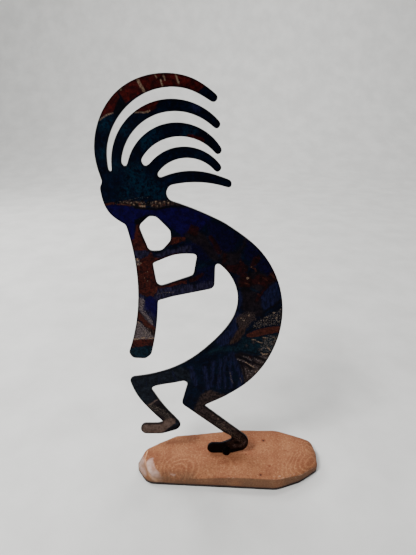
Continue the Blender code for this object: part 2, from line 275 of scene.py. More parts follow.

# Bleached places: a patch inside the ridge at the left end, a paler wash on the end face beyond
# it, and a short streak. A thin light line along the ridge is a painted highlight on its crease.
# Painted shade darkens the lower front of that end and all the sides, which turn away from the light.
PATCH = [
    (-71.1, -8.9), (-69.3, -7.2), (-66.5, -6.5), (-65.5, -10.6), (-64.4, -13.8), (-62.5, -17.3),
    (-60.6, -19.8), (-58.7, -21.8), (-56.2, -22.8), (-57.1, -23.4), (-60.0, -23.3), (-62.8, -23.1),
    (-65.3, -22.0), (-67.8, -19.8), (-70.1, -16.5), (-71.5, -12.9), (-71.7, -10.1),
]
END_WASH = [
    (-77.2, -1.8), (-74.4, -4.0), (-73.6, -10.5), (-72.3, -14.7), (-70.6, -18.2), (-72.7, -18.6),
    (-77.4, -14.0), (-80.5, -9.9), (-80.3, -4.5),
]
STREAK = [(-50, -20.9), (-48, -21.4), (-46, -21.4)]
RIDGE = [
    (-72.6, 1.8), (-73.3, -6.7), (-71.9, -13.3), (-70.4, -16.8), (-68.1, -19.9), (-65.5, -22.1),
    (-61, -23.4),
]
END_SHADE = [(-84, -8), (-71.5, -24), (-34, -26.5)]
on_stone = at[:, :2] + strayed(at, 0.7, 3, 8)
in_patch = held(0.5 + depth_in_outline(on_stone, PATCH) / 0.9)
in_wash = held(0.5 + depth_in_outline(on_stone, END_WASH) / 2.2)
in_streak = held(0.5 + depth_in_stroke(on_stone, STREAK, 0.4) / 0.9)
beside_ridge = held(depth_in_stroke(at[:, :2], RIDGE, 5) / 4)
bleached = 0.45 + 0.42 * beside_ridge + 0.28 * swells(at, 3, 10) + 0.2 * swells(at, 1.2, 20)
bleached *= in_patch * np.clip((at[:, 1] + 25.5) / 6, 0.3, 1)
washed = in_wash * (0.6 + 0.3 * swells(at, 3, 11) + 0.25 * swells(at, 1.1, 24))
bleached = np.maximum(np.maximum(bleached, washed), 0.5 * in_streak) * (at[:, 2] > 2)
keep_on_points(slab_mesh, "bleached", held(bleached))
# A painted highlight: the thin light line along the ridge's crease
ridge_highlight = held(depth_in_stroke(at[:, :2] + strayed(at, 0.5, 6, 25), RIDGE, 0.75) / 0.6)
keep_on_points(slab_mesh, "ridge_highlight", ridge_highlight * held(0.75 + 0.7 * swells(at, 4, 18)))
# Painted shade along the lower front of the left end and on all the sides
end_shade = held(depth_in_stroke(on_stone, END_SHADE, 8.5) / 7)
end_shade *= held(0.9 + 0.4 * swells(at, 1.4, 27))
painted_shade = np.maximum(end_shade, on_side * (0.75 + 0.3 * swells(at, 9, 28)))
keep_on_points(slab_mesh, "painted_shade", held(painted_shade))


def along_normals(mesh, lift):
    """Moves each point of the mesh along its normal by the lift in mm."""
    points = np.empty(len(mesh.vertices) * 3)
    normals = np.empty(len(mesh.vertices) * 3)
    mesh.vertices.foreach_get("co", points)
    mesh.vertices.foreach_get("normal", normals)
    mesh.vertices.foreach_set("co", points + normals * np.repeat(lift * MM, 3))
    mesh.update()


along_normals(slab_mesh, relief * rubbed + 0.03 * swells(at, 3, 15))


def linear(code):
    """The linear colour of an sRGB hex code: (c + 0.055) / 1.055 to the power 2.4, or c / 12.92
    in the darkest tones."""
    parts = [int(code[i:i + 2], 16) / 255 for i in (1, 3, 5)]
    return [c / 12.92 if c <= 0.04045 else ((c + 0.055) / 1.055) ** 2.4 for c in parts] + [1.0]


def fill_sockets(node, sockets):
    """Gives each named socket a number or a colour, or links it to another node's output."""
    for name, value in sockets.items():
        if isinstance(value, bpy.types.NodeSocket):
            node.id_data.links.new(value, node.inputs[name])
        else:
            node.inputs[name].default_value = value


def add_node(material, kind, output, sockets=None, **settings):
    """Adds one node with its settings, values and links, and gives back one of its outputs."""
    node = material.node_tree.nodes.new("ShaderNode" + kind)
    for name, value in settings.items():
        setattr(node, name, value)
    fill_sockets(node, sockets or {})
    return None if output is None else node.outputs[output]


def new_material(name, noises, kept=()):
    """A material with its shader, its place in object millimetres and the patterns to paint by:
    noises, each with the size of its swells in mm, its detail and its roughness, and the numbers
    that are kept on the mesh's points."""
    material = bpy.data.materials.new(name)
    material.use_nodes = True
    material.node_tree.nodes.clear()
    surface = add_node(material, "BsdfPrincipled", "BSDF")
    add_node(material, "OutputMaterial", None, {"Surface": surface})
    place = add_node(material, "TexCoord", "Object")
    place = add_node(material, "VectorMath", "Vector", {0: place, "Scale": 1000.0}, operation="SCALE")
    patterns = {key: add_node(material, "Attribute", "Fac", attribute_name=key) for key in kept}
    for key, (size, detail, roughness) in noises.items():
        sockets = {"Vector": place, "Scale": 1 / size, "Detail": detail, "Roughness": roughness}
        patterns[key] = add_node(material, "TexNoise", "Fac", sockets)
    return material, surface.node, place, patterns


def laid_over(material, under, over, pattern, low, high, least=0.0, most=1.0, where=1.0):
    """One colour laid over another, each a hex code or an output. The upper one's share runs from
    the least to the most as the pattern runs from low to high, and is multiplied by where."""
    limits = {"From Min": low, "From Max": high, "To Min": least, "To Max": most}
    share = add_node(material, "MapRange", "Result", {"Value": pattern, **limits})
    share = add_node(material, "Math", "Value", {0: share, 1: where}, operation="MULTIPLY")
    under, over = (linear(c) if isinstance(c, str) else c for c in (under, over))
    return add_node(material, "Mix", 2, {0: share, 6: under, 7: over}, data_type="RGBA")


# Rubbed sandstone: matt, with quartz grains 0.3 to 0.8 mm across held in iron-stained clay. The
# iron settled along the bedding, which gives thin brown lines on salmon and tan ground.
sandstone, shader, place, patterns = new_material(
    "Rubbed banded sandstone",
    {"ground": (16.0, 3.0, 0.55), "drift": (7.0, 3.0, 0.55), "specks": (1.3, 4.0, 0.75),
     "tooth": (2.6, 3.0, 0.55)},
    ["bedding", "clear bands", "dust_and_edge_highlight", "bleached", "ridge_highlight", "painted_shade", "pit"],
)
drift = add_node(sandstone, "Math", "Value", {0: patterns["drift"], 1: 2.4}, operation="MULTIPLY")
level = {0: patterns["bedding"], 1: 8.0, 2: drift}
level = add_node(sandstone, "Math", "Value", level, operation="MULTIPLY_ADD")
patterns["wave"] = add_node(sandstone, "Math", "Value", {0: level}, operation="SINE")
# The height above the floor, which sets the painted contact shadow at the foot of the sides
patterns["foot"] = add_node(sandstone, "SeparateXYZ", "Z", {0: place})
STONE_COLOURS = [
    # pattern, its range, the colour's share at each end of it, the colour
    ("ground", 0.38, 0.64, 0.0, 1.0, "#8b5838"),
    ("wave", 0.3, 1.0, 0.0, 0.32, "#68391d"),
    ("wave", -0.4, -1.0, 0.0, 0.5, "#ab7851"),
    ("specks", 0.54, 0.72, 0.0, 0.6, "#b88c66"),
    ("specks", 0.46, 0.3, 0.0, 0.75, "#4d2814"),
    # painted highlight along the crisp edges, with pale dust and crumbs
    ("dust_and_edge_highlight", 0.0, 1.0, 0.0, 0.55, "#c8a68c"),
    ("bleached", 0.0, 1.0, 0.0, 0.9, "#c0a398"),
    # painted highlight along the ridge's crease
    ("ridge_highlight", 0.0, 1.0, 0.0, 0.7, "#cf9f78"),
    # painted shade on the sides and the lower front of the left end
    ("painted_shade", 0.0, 1.0, 0.0, 0.6, "#433827"),
    ("pit", 0.04, 0.3, 0.0, 0.65, "#6e351b"),
    ("pit", 0.45, 0.9, 0.0, 1.0, "#301309"),
    # painted contact shadow: the lowest few mm of the sides darken to near black towards the floor
    ("foot", 1.5, 5.5, 0.3, 0.0, "#3d2415"),
    ("foot", 2.2, 3.2, 0.95, 0.0, "#120a06"),
]
colour = "#7a462a"
for key, low, high, least, most, over in STONE_COLOURS:
    where = patterns["clear bands"] if key == "wave" else 1.0
    colour = laid_over(sandstone, colour, over, patterns[key], low, high, least, most, where)
height = {0: patterns["tooth"], 1: 0.8, 2: patterns["specks"]}
height = add_node(sandstone, "Math", "Value", height, operation="MULTIPLY_ADD")
bump = {"Height": height, "Distance": 0.0005, "Strength": 0.7}
fill_sockets(shader, {
    "Base Color": colour, "Roughness": 0.82, "IOR": 1.54, "Specular IOR Level": 0.3,
    "Normal": add_node(sandstone, "Bump", "Normal", bump),
})


def finished_piece(name, mesh, material, node):
    """Puts the piece in the scene in place of its node."""
    mesh.materials.append(material)
    piece = bpy.data.objects.new(name, mesh)
    bpy.context.scene.collection.objects.link(piece)
    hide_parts(node)
    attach(piece, "root")


finished_piece("rubbed_sandstone_slab", slab_mesh, sandstone, "sandstone_slab")


# The pin: a short steel rod 6.5 mm across, glued into the slab's blind hole. The figure's foot
# stands in the slot across its top and is welded there, with a bead that runs along the sole.

PIN_RADIUS, PIN_BOTTOM, PIN_TOP = 3.25, 4.35, 21.0
BEAD_FOOT, BEAD_WIDENING = 13.6, 1.6
PIN_AROUND, ROD_RINGS, BEAD_RINGS = 128, 22, 34
pin_turn = np.linspace(-np.pi, np.pi, PIN_AROUND, endpoint=False)


def pin_ring(radius, height, widening=0.0):
    """A ring of the rod, and of the bead where it widens to both sides along the plate."""
    x, y = (radius + widening) * np.cos(pin_turn), radius * np.sin(pin_turn)
    return np.column_stack([PIN_X + x - 0.3 * widening, y, np.broadcast_to(height, len(x))])


rod = [pin_ring(2.65, PIN_BOTTOM), pin_ring(3.15, PIN_BOTTOM + 0.4)]
rod += [pin_ring(PIN_RADIUS, height) for height in np.linspace(5.4, BEAD_FOOT, ROD_RINGS)]
bead = []
for angle in np.radians(np.linspace(4, 89, BEAD_RINGS)):
    swelling = math.sin(min(angle * 2.2, math.pi / 2))
    widening = BEAD_WIDENING * swelling * math.cos(angle) ** 0.5
    ring = pin_ring(PIN_RADIUS * math.cos(angle) ** 0.8 + 0.02, 0, widening)
    ring[:, 2] = BEAD_FOOT + (PIN_TOP - BEAD_FOOT) * math.sin(angle)
    ring[:, 2] -= 0.9 * math.sin(angle) * abs(ring[:, 1]) / PIN_RADIUS
    bead.append(ring)
pin_mesh = stacked_rings("mounting_pin_piece", np.array(rod + bead))
at = mesh_points(pin_mesh)
beaded = held((at[:, 2] - BEAD_FOOT) / 2)
above_stone = held((at[:, 2] - SLAB_HEIGHT) / 1.5)
ripple = 0.55 * (np.abs(swells(at, 1.9, 22)) - 0.35) + 0.12 * swells(at, 0.8, 23)
along_normals(pin_mesh, above_stone * 0.06 * swells(at, 1.1, 21) + beaded * ripple)

# Welded mild steel, darkened by the heat: near-black scale with brown and blue tints
pin_steel, shader, place, patterns = new_material(
    "Heat-darkened mild steel",
    {"tint": (2.2, 4.0, 0.55), "blueing": (1.1, 3.0, 0.55), "scale": (0.5, 3.0, 0.55)},
)
colour = laid_over(pin_steel, "#020203", "#0b0706", patterns["tint"], 0.38, 0.6)
colour = laid_over(pin_steel, colour, "#061016", patterns["blueing"], 0.6, 0.75, most=0.7)
dull = {"Value": patterns["tint"], "From Min": 0.3, "From Max": 0.7, "To Min": 0.42, "To Max": 0.62}
bump = {"Height": patterns["scale"], "Distance": 0.00012, "Strength": 0.5}
fill_sockets(shader, {
    "Base Color": colour, "Metallic": 0.95, "Specular IOR Level": 0.2,
    "Roughness": add_node(pin_steel, "MapRange", "Result", dull),
    "Normal": add_node(pin_steel, "Bump", "Normal", bump),
})
finished_piece("welded_mounting_pin", pin_mesh, pin_steel, "mounting_pin")


# The figure: one plate of mild steel 2 mm thick, cut to its outline with its gaps. The cut edge
# was dressed with a file, so its arrises are slightly round.

PLATE_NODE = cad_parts["flute_player"]
HALF_PLATE = 1.0
EDGE_STEP, FRONT_STEP, BACK_STEP = 0.6, 0.58, 3.0
ARRIS = [
    # depth as a share of half the plate, and how far the edge is drawn in there
    (-1.0, 0.22), (-0.93, 0.07), (-0.78, 0.0), (-0.3, 0.0), (0.3, 0.0), (0.78, 0.0), (0.93, 0.07),
    (1.0, 0.22),
]


def cut_loops(mesh):
    """The plate's outline and gaps as closed lines in x and z. The front face's triangles give
    each inner side twice, once each way, so a side with no partner lies on a cut edge."""
    corners = np.empty(len(mesh.loops), int)
    mesh.loops.foreach_get("vertex_index", corners)
    front = mesh_points(mesh)[corners].reshape(-1, 3, 3)
    front = front[(front[:, :, 1] < -0.99 * HALF_PLATE).all(axis=1)][:, :, [0, 2]].round(3)
    places, index = np.unique(front.reshape(-1, 2), axis=0, return_inverse=True)
    index = index.reshape(-1, 3)
    sides = np.vstack([index[:, [0, 1]], index[:, [1, 2]], index[:, [2, 0]]])
    code = sides[:, 0] * len(places) + sides[:, 1]
    partner = sides[:, 1] * len(places) + sides[:, 0]
    after = dict(sides[~np.isin(code, partner)].tolist())
    loops = []
    while after:
        start, here = after.popitem()
        line = [start]
        while here != start:
            line.append(here)
            here = after.pop(here)
        loops.append(places[line])
    return loops


def evenly_stepped(line, step):
    """The closed line with points one step apart along it. Each is then drawn six times half-way
    to its neighbours' mean, which rounds the outline's short straight lengths into one curve."""
    closed = np.vstack([line, line[:1]])
    reached = np.concatenate([[0], np.cumsum(np.hypot(*np.diff(closed, axis=0).T))])
    count = round(reached[-1] / step)
    along = np.arange(count) * reached[-1] / count
    line = np.column_stack([np.interp(along, reached, closed[:, i]) for i in (0, 1)])
    for _ in range(6):
        line = 0.5 * line + 0.25 * (np.roll(line, 1, axis=0) + np.roll(line, -1, axis=0))
    return line


def outward(line):
    """The outward way at each point: its two sides' mean direction, turned by a quarter. The
    solid lies on the left of each loop."""
    before = line - np.roll(line, 1, axis=0)
    after = np.roll(line, -1, axis=0) - line
    mean = before / np.hypot(*before.T)[:, None] + after / np.hypot(*after.T)[:, None]
    mean /= np.maximum(np.hypot(*mean.T), 0.2)[:, None]
    return np.column_stack([mean[:, 1], -mean[:, 0]])


def gap_to(at, loops):
    """The distance of each point to the nearest loop point."""
    rim = np.vstack(loops)
    tree = KDTree(len(rim))
    for k, point in enumerate(rim.tolist()):
        tree.insert((*point, 0), k)
    tree.balance()
    return np.array([tree.find((*point, 0))[2] for point in at.tolist()])


def filled_face(loops, step, sign):
    """Points and triangles that fill the space between the outline and its gaps, with a lattice
    of even triangles inside and the loops' own points on the rim. The triangles turn
    counter-clockwise in x and z for sign 1, and clockwise for -1."""
    rim = np.vstack(loops)
    starts = np.cumsum([0] + [len(line) for line in loops]).tolist()
    edges = []
    for start, end in zip(starts, starts[1:]):
        edges += [(k, k + 1) for k in range(start, end - 1)] + [(end - 1, start)]
    low, high = rim.min(axis=0), rim.max(axis=0)
    columns, levels = np.arange(low[0], high[0], step), np.arange(low[1], high[1], step * 0.866)
    across, up = np.meshgrid(columns, levels)
    across[1::2] += step / 2
    lattice = np.column_stack([across.ravel(), up.ravel()])
    kept = within(lattice, loops) & (gap_to(lattice, loops) > 0.45 * step)
    points = np.vstack([rim, lattice[kept]])
    found = delaunay_2d_cdt([tuple(p) for p in points.tolist()], edges, [], 0, 1e-6)
    faces = np.array(found[2])
    faces = faces[within(points[faces].mean(axis=1), loops)]
    a, b, c = (points[faces[:, i]] for i in range(3))
    area = (b - a)[:, 0] * (c - a)[:, 1] - (b - a)[:, 1] * (c - a)[:, 0]
    return points, np.where((area * sign > 0)[:, None], faces, faces[:, ::-1])


def at_depth(points, depth):
    """Points in x and z put into the plate at a share of half its thickness."""
    return np.column_stack([points[:, 0], np.full(len(points), depth * HALF_PLATE), points[:, 1]])


# The front face, the rows of the cut edge and the back face stand one after the other
loops = [evenly_stepped(line, EDGE_STEP) for line in cut_loops(PLATE_NODE.data)]
insets = [[line - outward(line) * inset for line in loops] for _, inset in ARRIS]
front_points, front_faces = filled_face(insets[0], FRONT_STEP, 1)
back_points, back_faces = filled_face(insets[-1], BACK_STEP, -1)
edge_rows = [at_depth(np.vstack(rims), depth) for (depth, _), rims in zip(ARRIS, insets)][1:-1]
points = np.vstack([at_depth(front_points, -1), *edge_rows, at_depth(back_points, 1)])
rim_count = sum(len(line) for line in loops)
row_starts = [0] + [len(front_points) + rim_count * k for k in range(len(edge_rows) + 1)]
following = np.arange(1, rim_count + 1)
ends = np.cumsum([len(line) for line in loops])
following[ends - 1] = [0, *ends[:-1]]
k = np.arange(rim_count)
edge_faces = [
    np.column_stack([a + following, a + k, b + k, b + following])
    for a, b in zip(row_starts, row_starts[1:])
]
blocks = [front_faces, *edge_faces, back_faces + row_starts[-1]]
plate_mesh = bpy.data.meshes.new("flute_player_piece")
plate_mesh.from_pydata((points * MM).tolist(), [], [face for block in blocks for face in block.tolist()])
at = mesh_points(plate_mesh)

# The patina is dabbed, brushed and flamed on in patches that run over the plate's edge. Each list
# holds closed outlines, strokes with their half width, or round clouds with their radius, in mm.
# What lies deepest in a list counts, and between the patches the steel stays blue-black.
FLUTE_END = [(-80, 123.5), (-73.5, 124), (-66.5, 125), (-58, 125.6), (-58, 108), (-86, 108)]
patina = {}
patina["teal"] = [
    # head and feathers
    (-66, 256, 8), (-60, 249, 7.5), (-52, 246, 6), (-57, 277, 5), (-51.5, 283, 4), (-82, 289, 4.5),
    (-79, 262, 4), (-70, 285, 3.5), (-73, 246, 5), (-30, 283, 5), (-26, 266, 4), (-86, 270, 3.5),
    # the flute's end, the top of the thigh and small places on the hump
    FLUTE_END, ([(-82, 96.5), (-64.5, 99.2), (-52, 102.6), (-40, 107.5)], 1.3),
    ([(12, 172), (19, 174)], 1.7), (14.5, 156, 1.6), (-22, 190, 3),
]
patina["verdigris"] = [
    # the flute's end and the field across the hump
    FLUTE_END,
    [(13, 132.5), (19.5, 133.5), (28.5, 135.5), (42, 136.5), (40, 129.5), (34, 120.5), (31, 118.5),
     (27, 118.5), (23, 116.5), (17, 116.5), (13.5, 118.5), (8, 120.5), (1.5, 120), (-9.5, 120),
     (-16, 116), (-20, 118), (-9.5, 124.5), (-3, 123.2), (3.5, 125), (7, 128), (8.5, 132)],
]
patina["violet"] = [
    # face and neck, and the deepest blue of the flute
    [(-92, 236.6), (-80, 236.6), (-71, 236.2), (-67, 234.8), (-60, 233.7), (-54, 233.4), (-48, 234.4),
     (-43.5, 235.4), (-24, 236), (-14, 230), (-22, 220), (-36, 214), (-43, 221), (-49.5, 225),
     (-56, 230), (-62, 229.5), (-68.5, 225), (-69, 218.5), (-69.5, 212), (-73, 211), (-76, 222),
     (-90, 226)],
    [(-66, 165), (-61.5, 167.5), (-54, 167), (-55.5, 158), (-56.5, 146.5), (-59.5, 148.5), (-62.5, 153),
     (-65.5, 156.5), (-66, 161)],
]
patina["indigo"] = [
    # the hump from the top down, and the shoulder and elbow
    [(-20, 228), (-5, 220.5), (0, 218.5), (4, 214.5), (2.5, 209), (-0.5, 204), (-4.5, 202), (-14, 204)],
    [(9.5, 207.5), (5, 219), (14, 214), (24, 206), (30, 196), (29.5, 187), (25, 184.5), (20.5, 188),
     (18, 190.5), (17.5, 194), (21, 199), (18, 202), (12, 197), (7.5, 199), (8.5, 204)],
    [(0.5, 184), (5, 184.5), (6, 180), (5, 176.5), (1, 179)],
    [(-34, 209), (-24, 213), (-14, 206), (-18, 196), (-28, 198), (-36, 204)],
    [(-26, 190), (-12, 194), (-8, 182), (-16, 172), (-26, 176)],
]
patina["dusk"] = [
    # the greyer blue of the flute and the arms
    [(-71, 204.5), (-62.5, 204.2), (-58.6, 203.6), (-60.5, 200), (-64, 198), (-66, 197.3), (-71, 197.8)],
    [(-57, 199), (-55, 201), (-52, 202.2), (-46.5, 204.5), (-30, 208.5), (-30, 203), (-44, 201.6),
     (-54, 198.3)],
    [(-55.8, 174), (-52, 175.4), (-43.5, 176), (-28, 177.6), (-14, 181), (-12, 172), (-44, 168),
     (-53.5, 165.8), (-56.5, 164.5), (-58.5, 167)],
    [(-73, 172), (-66, 168.8), (-63.5, 168), (-66, 165), (-66, 161), (-64, 157.5), (-61, 155),
     (-58.5, 151.5), (-56, 149.5), (-56, 140.5), (-61.5, 142), (-65, 146), (-68.5, 153.5), (-74, 157)],
]
patina["twilight"] = [
    # the low side of the hump, brush strokes down the belly and the thigh, and two feathers
    [(-3, 148), (3, 156), (8, 152), (4, 146), (5, 139.5), (3, 134), (0.5, 130), (-1, 127), (-8.5, 124.5),
     (-12, 130)],
    [(5, 174), (7, 172), (8, 165), (6.5, 158), (3, 158), (2, 166)],
    [(25.5, 176), (29.5, 179), (36, 183), (42, 170), (38, 165), (33, 161.5), (28.5, 158), (25, 155.5),
     (22.5, 160), (21.5, 166.5), (24, 171.5)],
    ([(2, 118), (5, 106), (9, 94), (7, 84)], 1.7), ([(-1, 116), (0.5, 102), (1, 84)], 1.2),
    ([(-4, 114), (-5, 100), (-4, 84)], 1.1), ([(-8, 112), (-9.5, 84)], 1.3),
    ([(-14, 110), (-15, 86)], 1.5), ([(-68.5, 94), (-68.5, 85)], 0.15), ([(-58, 97), (-57.5, 90)], 0.2),
    ([(-46, 100), (-44, 92)], 0.5), ([(-74, 90), (-74.5, 85)], 0.05), ([(-32, 104), (-28, 88)], 2.0),
    ([(-21, 104), (-18, 84)], 1.8), (-25, 300, 4), (-14, 284, 3.5),
]
patina["slate"] = [
    # the thigh and the shin of the raised leg
    [(-86, 76), (-84, 94), (-64, 97.6), (-52, 101), (-40, 105.5), (-30, 100), (-34, 86), (-44, 78),
     (-56, 72), (-68, 63), (-80, 66)],
    [(-76, 66), (-58, 74), (-40, 60), (-30, 40), (-50, 30), (-84, 30), (-84, 50), (-62, 52)],
]
patina["umber"] = [
    # the fan's upper half
    [(3.5, 117.5), (7.5, 119.3), (13.5, 117.8), (18.5, 115), (23.5, 116), (20, 106), (9.5, 104),
     (6, 110.5), (4, 113.5)],
    # the hump and the shoulder, and the shin above the raised foot
    [(5, 216.5), (8, 214), (7, 209), (4.5, 205), (1, 203), (-4, 203), (-9, 203), (-9, 193),
     (-2.5, 193.5), (0, 191.5), (3, 194), (4.5, 199), (6.5, 205), (9.5, 209), (9.5, 213)],
    [(5, 174.5), (13, 175.5), (18, 171.5), (21, 166), (23, 160), (24.5, 157), (23.5, 151), (16, 152),
     (8, 157), (8, 166)],
    [(17, 190), (25, 185), (33, 181), (26, 176), (20, 172), (14, 176), (3, 175), (3, 183), (12, 187)],
    [(-30, 222), (-20, 216), (-12, 203), (-8, 196), (-14, 196), (-24, 208), (-36, 214)],
    [(-72, 64), (-66, 67.5), (-60, 72), (-56, 69), (-52, 60), (-46, 53), (-44, 49), (-57, 48), (-66, 56)],
]
patina["scorched"] = [
    # the fan of streaks low on the hump, and the standing leg
    [(22, 115.6), (29, 118), (36, 120), (34, 112.5), (30, 105), (26, 99), (19, 92), (12.5, 86), (11, 94),
     (10, 99), (9.5, 104.5), (19, 106.5)],
    [(-24, 78), (-16, 82), (4, 74), (30, 50), (30, 5), (-30, 5), (-30, 60)],
]
patina["rosy"] = [
    # worn spots on the standing leg and its heel, then the raised foot and the band above it
    (-3.3, 41.5, 0.8), (0.6, 40, 0.8), ([(3.5, 41.3), (6, 39.8)], 0.7), (-3.5, 48, 0.9), (-9, 51, 0.7),
    (-14, 55.5, 0.8), ([(-1, 45.5), (1.5, 44)], 0.6), (11.4, 30.5, 0.8), (14.5, 32.3, 0.8),
    ([(12, 24.5), (14, 21)], 0.7), (6.2, 22, 1.0), (9.8, 27.5, 0.7), (4.2, 27.8, 0.6),
    ([(7, 19.8), (10.5, 20.2)], 0.6), ([(-6.5, 46.5), (-4.5, 45)], 0.6),
    [(-84, 30), (-84, 52), (-62, 49.5), (-57, 49), (-54, 51.5), (-50, 53), (-47, 52), (-46, 47.5),
     (-50, 43.5), (-55, 38.5), (-58, 34), (-60, 30)],
    ([(-70, 65), (-66, 68), (-63, 70.5), (-56, 74)], 0.5),
]
patina["maroon"] = [
    # the star on the hump: its left block, bar, lower block and tail, then shards on the shoulder
    [(-9, 194), (1, 193), (4, 195.5), (5.5, 197.8), (8, 194.5), (11, 191.5), (10, 188), (7, 187.5),
     (6.5, 185), (4, 185), (-0.5, 187.5), (-9, 188)],
    [(12, 191.5), (13, 194.5), (15, 199.5), (18.5, 201), (20, 197.5), (16, 192.5), (14, 190.5)],
    [(6.5, 187.5), (9.5, 188), (11, 185), (14.5, 182), (18, 186), (21.5, 185), (25.5, 183.5),
     (28, 187.5), (34, 188), (34, 181.5), (28, 179), (25, 177), (22, 176), (18.5, 178), (14.5, 177.5),
     (10.5, 175), (5.5, 175.5), (5, 181)],
    ([(25, 176.5), (22.5, 172), (20, 167.5), (18.5, 164)], 1.1), ([(-10, 203), (-16, 214)], 1.6),
    (15, 114, 1.5),
    [(-7, 202), (-4.5, 201.5), (-4, 196.5), (-7, 194)],
    [(-30, 224), (-24, 221), (-26, 214), (-33, 217)],
    ([(-30, 181), (-22, 186)], 1.5),
]
patina["rust"] = [
    # the outer feather on both sides of its crack, and the second feather's top
    [(-90, 291), (-88, 299), (-82, 306), (-74.3, 310), (-72.5, 304), (-74.5, 301), (-75, 298.5),
     (-77, 295.5), (-81, 294)],
    [(-74, 307.5), (-70, 313), (-60.5, 318), (-42, 322), (-26, 319), (-18, 312), (-24, 307), (-31, 305),
     (-42, 308), (-51, 307.5), (-58.5, 306), (-65, 303), (-69.3, 300.2), (-71, 303.5)],
    [(-63, 296.5), (-60.5, 300), (-54, 303), (-47, 304), (-48.5, 300.5), (-50.5, 299.5), (-49.5, 298.5),
     (-52.5, 297), (-57.5, 295.5), (-62, 295.5)],
    ([(-30, 281), (-22, 279.5)], 1.6),
]
patina["russet"] = [
    # down the neck to the flute, the arms, and beside the hump's stripe
    [(-68, 223), (-65, 224.4), (-62, 221), (-60, 210), (-58, 204), (-62.5, 204), (-72, 204),
     (-72, 211.5), (-69.5, 213), (-68.5, 218.5)],
    [(-62, 206), (-58, 204.6), (-53.5, 204.3), (-43.5, 208.5), (-34, 211), (-34, 214), (-44, 214),
     (-58, 210)],
    [(-70, 198), (-66, 197.5), (-64, 198), (-60.5, 200), (-58.8, 203.6), (-57, 199), (-54, 198.3),
     (-44, 201.6), (-36, 203), (-42, 198), (-52, 192), (-55, 189.5), (-54.5, 179.5), (-56, 171),
     (-63, 167.5), (-66, 169), (-72, 172), (-72, 193)],
    [(-58, 178), (-53, 177), (-43.5, 179), (-34, 181.5), (-34, 178.8), (-43.5, 176.8), (-55, 174.5)],
    [(-80, 130), (-69.5, 131), (-58, 131), (-58, 125.5), (-66.5, 125), (-73.5, 124), (-82, 123)],
    ([(7, 136.5), (4.5, 132.5), (2, 129)], 0.9),
]
patina["tan"] = [
    # both lengths of the band across the face, the hump's stripe, and the flute's pale field
    [(-78.5, 237.2), (-77.5, 239.2), (-74, 240), (-70.5, 239.8), (-66, 239.8), (-61, 239.5),
     (-60, 237.4), (-60.5, 235.2), (-66, 235.4), (-70, 236.6), (-74, 237)],
    [(-57, 239), (-53, 240.2), (-48, 239.9), (-43, 240.6), (-34, 240), (-34, 236.8), (-43, 236.8),
     (-48, 236), (-53, 235.2), (-57, 235.8)],
    [(6.5, 143.5), (13, 144.5), (11.5, 140), (9.5, 135), (6.5, 130), (3.5, 127), (-2.2, 125.9),
     (0.2, 130.5), (2.4, 134.5), (4.8, 139.5)],
    [(-66.5, 142), (-63, 141), (-57, 138), (-57, 131.5), (-59.5, 132), (-62.5, 135.5)],
]
patina["mauve"] = [
    # clouds in the hump's verdigris field, the heel, the stripe's head and the fan
    (18, 128, 1.2), (26, 131, 1.5), (33, 127, 2), (23, 121, 1.5), (12, 125, 1), (37, 133, 1.2),
    (30, 122, 1.2),
    [(1, 31), (8, 33), (14.5, 31), (16.5, 24), (13, 18.5), (4, 18.5), (1.5, 24)],
    [(5.5, 152.5), (12, 155), (16.5, 153.5), (19, 148.5), (15, 145), (12, 141), (6.5, 141), (3, 148.5)],
    [(24, 108), (28, 106), (24, 98), (18, 93), (14, 92), (16, 99)],
]
patina["pale"] = [
    # streaks of the verdigris field, the fan and the belly
    ([(29, 134), (33.5, 133.5)], 0.3), ([(23, 121.5), (26.5, 123)], 0.15),
    ([(30.5, 127.5), (33, 126)], 0.2), ([(5.5, 112.5), (10.5, 111), (15.5, 107), (21, 104)], 0.3),
    ([(9.5, 115), (13.5, 114), (17, 111)], 0.2), ([(18.5, 112.5), (23, 110.5), (27, 109.5)], 0.25),
    ([(17.5, 101), (20, 100), (22, 101.5)], 0.2), ([(11, 104.5), (12.5, 101), (14, 95.5)], 0.25),
    ([(-0.5, 100), (0.5, 94), (2.5, 89)], 0.05), ([(8, 94), (9.5, 90)], 0.05),
    ([(14.5, 102), (18, 96.5)], 0.2), ([(24, 115), (29, 113.5)], 0.2),
    # the heel, then the flute from its mouthpiece down
    (5.5, 21.3, 1.5), ([(9.5, 20.3), (13, 22.5), (14.3, 26)], 1.0), (9.5, 27.5, 0.8), (2.5, 28.5, 0.5),
    [(-72, 197.5), (-67, 197.3), (-67.3, 193), (-72, 193.5)],
    [(-74, 167.5), (-69, 167), (-66, 165), (-66.5, 160), (-67, 156), (-74, 156)],
    [(-70, 157.5), (-66, 155), (-63, 150.5), (-60.5, 146.5), (-61, 144), (-63.5, 145), (-67, 150)],
    [(-74, 148.5), (-70, 146), (-65.5, 140.5), (-62.5, 135.5), (-58, 131.2), (-69.5, 131), (-79, 130),
     (-77, 134), (-76, 141)],
]
